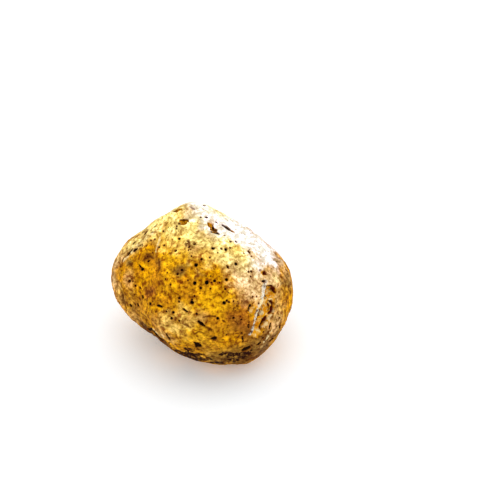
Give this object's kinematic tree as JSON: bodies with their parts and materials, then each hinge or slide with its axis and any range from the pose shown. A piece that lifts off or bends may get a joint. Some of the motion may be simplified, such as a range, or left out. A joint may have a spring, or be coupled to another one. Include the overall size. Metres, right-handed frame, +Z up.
{
  "type": "truffle",
  "caption": "Whole white truffle, a knobbly lobed tuber with pitted golden skin, a heel crease and a torn side that shows its flesh, resting on a small flat spot.",
  "frame": {"origin": "on the resting plane, below the middle of the truffle's bounding box", "axes": "+Z up from the flat spot, +X along the truffle's width to the viewer's right, -Y towards the viewer, on the side with the tear at the right"},
  "size_m": [0.052, 0.0468, 0.043],
  "materials": {
    "skin": "matte"
  },
  "bodies": {
    "root": {"truffle": "skin"}
  },
  "joints": []
}
